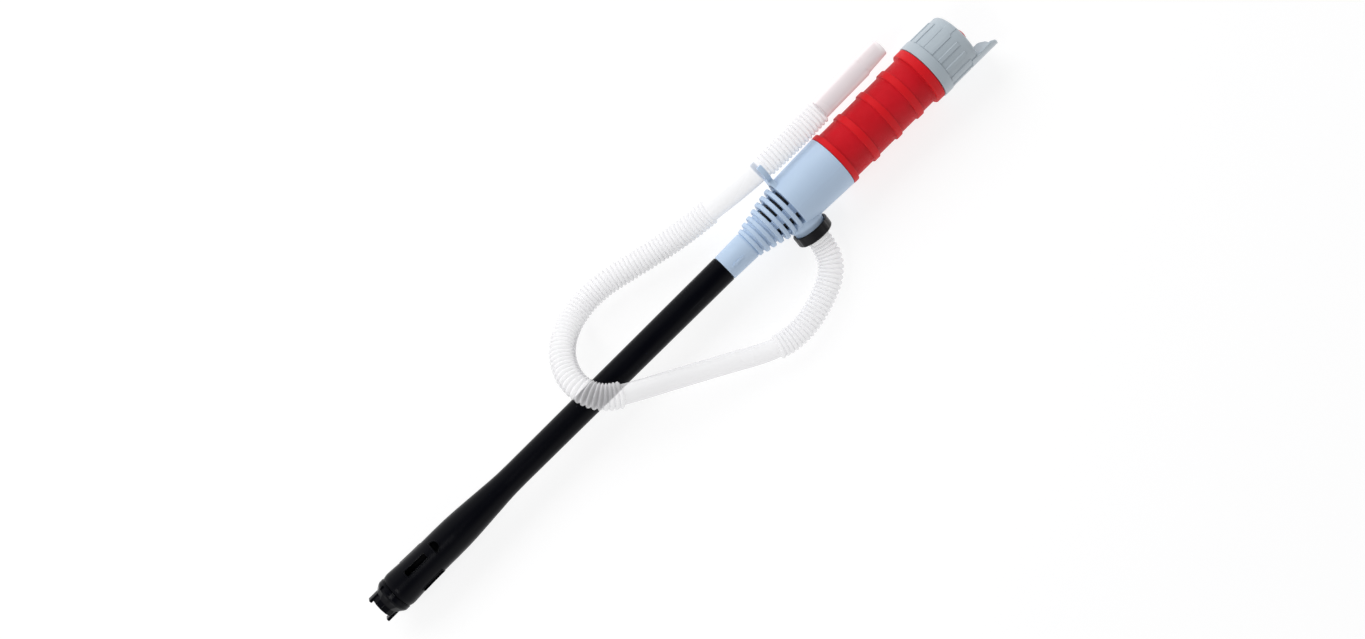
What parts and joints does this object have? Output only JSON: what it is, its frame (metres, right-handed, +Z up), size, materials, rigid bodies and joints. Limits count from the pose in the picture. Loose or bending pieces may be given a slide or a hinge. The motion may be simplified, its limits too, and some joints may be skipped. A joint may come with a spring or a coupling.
{
  "type": "battery liquid transfer pump",
  "caption": "Battery liquid transfer pump: long suction tube, finned neck, ringed grip with screw cap and switch, and a part-ribbed discharge hose clipped back along the grip.",
  "frame": {"origin": "on the floor, under the middle of the pump's box, without its hose and nozzle", "axes": "+X along the wand from the intake foot to the end cap, lying level; -Y and down is the outlet's side, +Y and up the hose clip's; +Z up"},
  "size_m": [0.622, 0.1492, 0.0554],
  "materials": {
    "black_plastic": "soft satin moulded black",
    "inner_black_plastic": "moulded",
    "nut_plastic": "satin black",
    "blue_plastic": "satin light blue",
    "red_grip": "fine matte grain",
    "grey_plastic": "satin blue grey",
    "button_plastic": "satin red",
    "white_plastic": "natural moulded",
    "hose_plastic": "translucent blow-moulded",
    "nozzle_plastic": "translucent moulded",
    "steel": "plain",
    "brass": "plain",
    "magnet": "sintered",
    "seal_rubber": "matte",
    "cell_case": "satin sleeve"
  },
  "bodies": {
    "pump": {"intake_foot": "black_plastic", "suction_tube": "black_plastic", "lower_shaft_bush": "white_plastic", "middle_shaft_bush": "white_plastic", "upper_shaft_bush": "white_plastic", "pump_housing": "blue_plastic", "flow_chamber": "inner_black_plastic", "outlet_gasket": "seal_rubber", "hose_tail": "white_plastic", "seal_bulkhead": "white_plastic", "shaft_seal": "seal_rubber", "motor_can": "steel", "motor_magnet": "magnet", "motor_end_bell": "white_plastic", "motor_sleeve": "seal_rubber", "motor_contact": "brass", "battery_tube": "white_plastic", "contact_strip": "brass", "grip_sleeve": "red_grip", "lower_battery": "cell_case", "upper_battery": "cell_case", "cap_seal": "seal_rubber", "hose": "hose_plastic", "hose_nozzle": "nozzle_plastic"},
    "drive_line": {"impeller": "white_plastic", "impeller_screw": "steel", "drive_shaft": "steel", "shaft_coupling": "brass", "motor_rotor": "steel"},
    "cap_insert": {"contact_spring": "steel", "contact_plate": "brass"},
    "end_cap": {"end_cap": "grey_plastic", "switch_body": "white_plastic"},
    "switch_button": {"switch_button": "button_plastic"},
    "outlet_nut": {"outlet_nut": "nut_plastic"}
  },
  "joints": [
    {"name": "drive_spin", "type": "hinge", "parent": "pump", "child": "drive_line", "pos_m": [-0.011, -0.00343, 0.02405], "axis": [1, 0, 0], "continuous": true},
    {"name": "cap_pull", "type": "slide", "parent": "pump", "child": "cap_insert", "axis": [1, 0, 0], "range_m": [0, 0.04]},
    {"name": "cap_turn", "type": "hinge", "parent": "cap_insert", "child": "end_cap", "pos_m": [0.274, -0.00343, 0.02405], "axis": [1, 0, 0], "range_deg": [0, 45]},
    {"name": "button_press", "type": "slide", "parent": "end_cap", "child": "switch_button", "axis": [-1, 0, 0], "range_m": [0, 0.002], "stiffness_N_per_m": 900, "springref_m": -0.0015},
    {"name": "nut_turn", "type": "hinge", "parent": "pump", "child": "outlet_nut", "pos_m": [0.1185, -0.00343, 0.02405], "axis": [-0.0698, -0.9487, -0.3083], "range_deg": [0, 450]}
  ]
}
